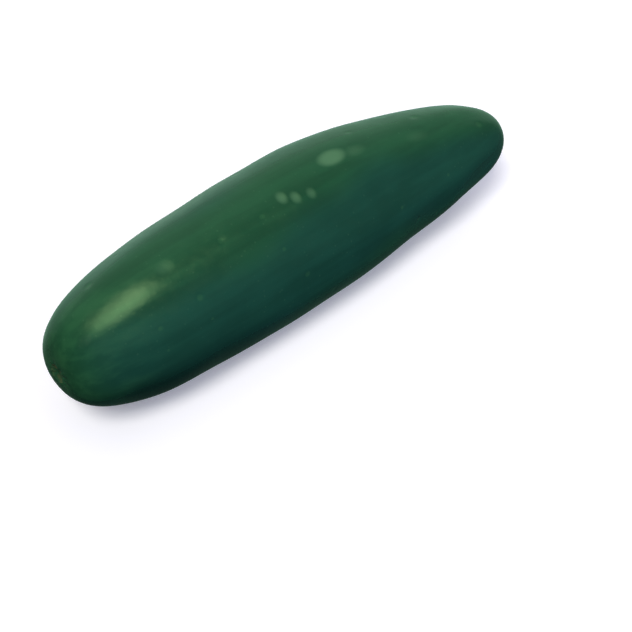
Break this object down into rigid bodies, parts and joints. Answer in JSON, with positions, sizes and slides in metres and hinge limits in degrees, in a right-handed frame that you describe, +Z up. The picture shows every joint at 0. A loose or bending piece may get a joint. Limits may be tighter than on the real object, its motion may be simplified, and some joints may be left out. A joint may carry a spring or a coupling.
{
  "type": "cucumber",
  "caption": "Whole dark green slicing cucumber lying on its side, gently bowed, with glossy bumpy skin, a blossom scar at one end and a short cut stem stub at the other.",
  "frame": {"origin": "on the resting surface, at the middle of the fruit's footprint, on its flattened belly", "axes": "+X along the fruit towards its stem end, +Z up from the resting surface, +Y towards the convex side of its bow"},
  "size_m": [0.2068, 0.0564, 0.0548],
  "materials": {
    "skin": "satin"
  },
  "bodies": {
    "root": {"cucumber": "skin"}
  },
  "joints": []
}
